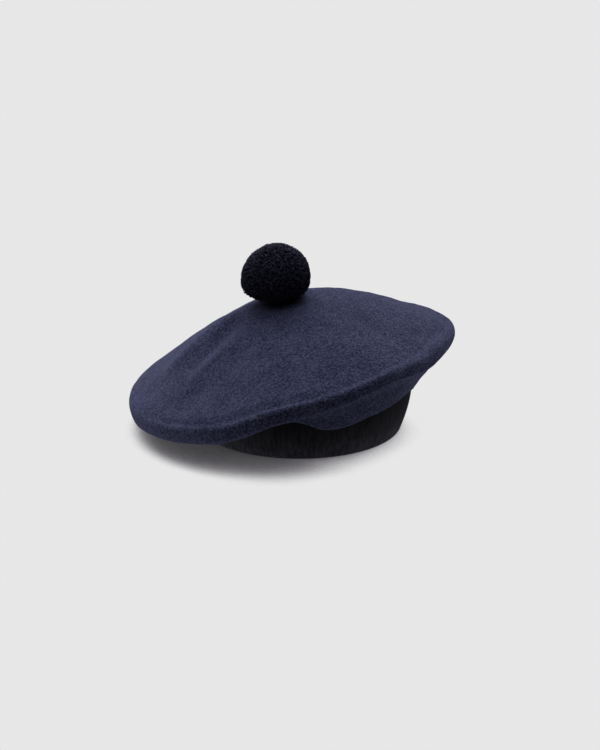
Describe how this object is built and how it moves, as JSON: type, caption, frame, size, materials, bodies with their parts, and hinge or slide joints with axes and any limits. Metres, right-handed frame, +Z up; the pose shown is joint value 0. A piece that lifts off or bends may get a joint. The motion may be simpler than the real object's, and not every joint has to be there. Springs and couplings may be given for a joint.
{
  "type": "pompom beret",
  "caption": "Round felt beret with a slouching blocked crown on a sewn headband, an inner ribbon sweatband and a yarn pompom tied to its top.",
  "frame": {"origin": "middle of the head opening, on the plane that the hem rests on", "axes": "+Z up through the head opening, -Y the wearer's front, +Y the back with the ribbon's join and the label, -X the side the crown slouches to"},
  "size_m": [0.2728, 0.28, 0.1576],
  "materials": {
    "crown_felt": "matte",
    "band_felt": "matte",
    "sweatband_ribbon": "satin",
    "sewing_thread": "satin",
    "label_satin": "satin",
    "button_resin": "satin",
    "tie_cord": "matte",
    "pompom_wool": "matte"
  },
  "bodies": {
    "headband": {"headband": "band_felt", "headband_join_stitches": "sewing_thread", "band_seam_stitches": "sewing_thread", "sweatband": "sweatband_ribbon", "sweatband_stitches": "sewing_thread", "sweatband_join_stitches": "sewing_thread", "care_label_stitches": "sewing_thread"},
    "label": {"care_label": "label_satin"},
    "crown": {"crown": "crown_felt"},
    "tie": {"backing_button": "button_resin", "tie_tails": "tie_cord", "tie_knot": "tie_cord"},
    "shank": {"thread_shank": "sewing_thread"},
    "pompom": {"tie_binding": "tie_cord", "pompom_yarn": "pompom_wool"}
  },
  "joints": [
    {"name": "crown_tilt", "type": "hinge", "parent": "headband", "child": "crown", "pos_m": [0, 0, 0.0325], "axis": [0, 1, 0], "range_deg": [-3, 20]},
    {"name": "label_fold", "type": "hinge", "parent": "headband", "child": "label", "pos_m": [0, 0.0832, 0.02645], "axis": [1, 0, 0], "range_deg": [0, 95]},
    {"name": "pompom_twist", "type": "hinge", "parent": "crown", "child": "tie", "pos_m": [-0.02274, 0, 0.10735], "axis": [-0.2368, 0, 0.9715], "range_deg": [-60, 60]},
    {"name": "pompom_nod", "type": "hinge", "parent": "tie", "child": "shank", "pos_m": [-0.02335, 0, 0.10988], "axis": [1, 0, 0], "range_deg": [-12, 12]},
    {"name": "pompom_sway", "type": "hinge", "parent": "shank", "child": "pompom", "pos_m": [-0.02335, 0, 0.10988], "axis": [0, 1, 0], "range_deg": [-40, 3]}
  ]
}
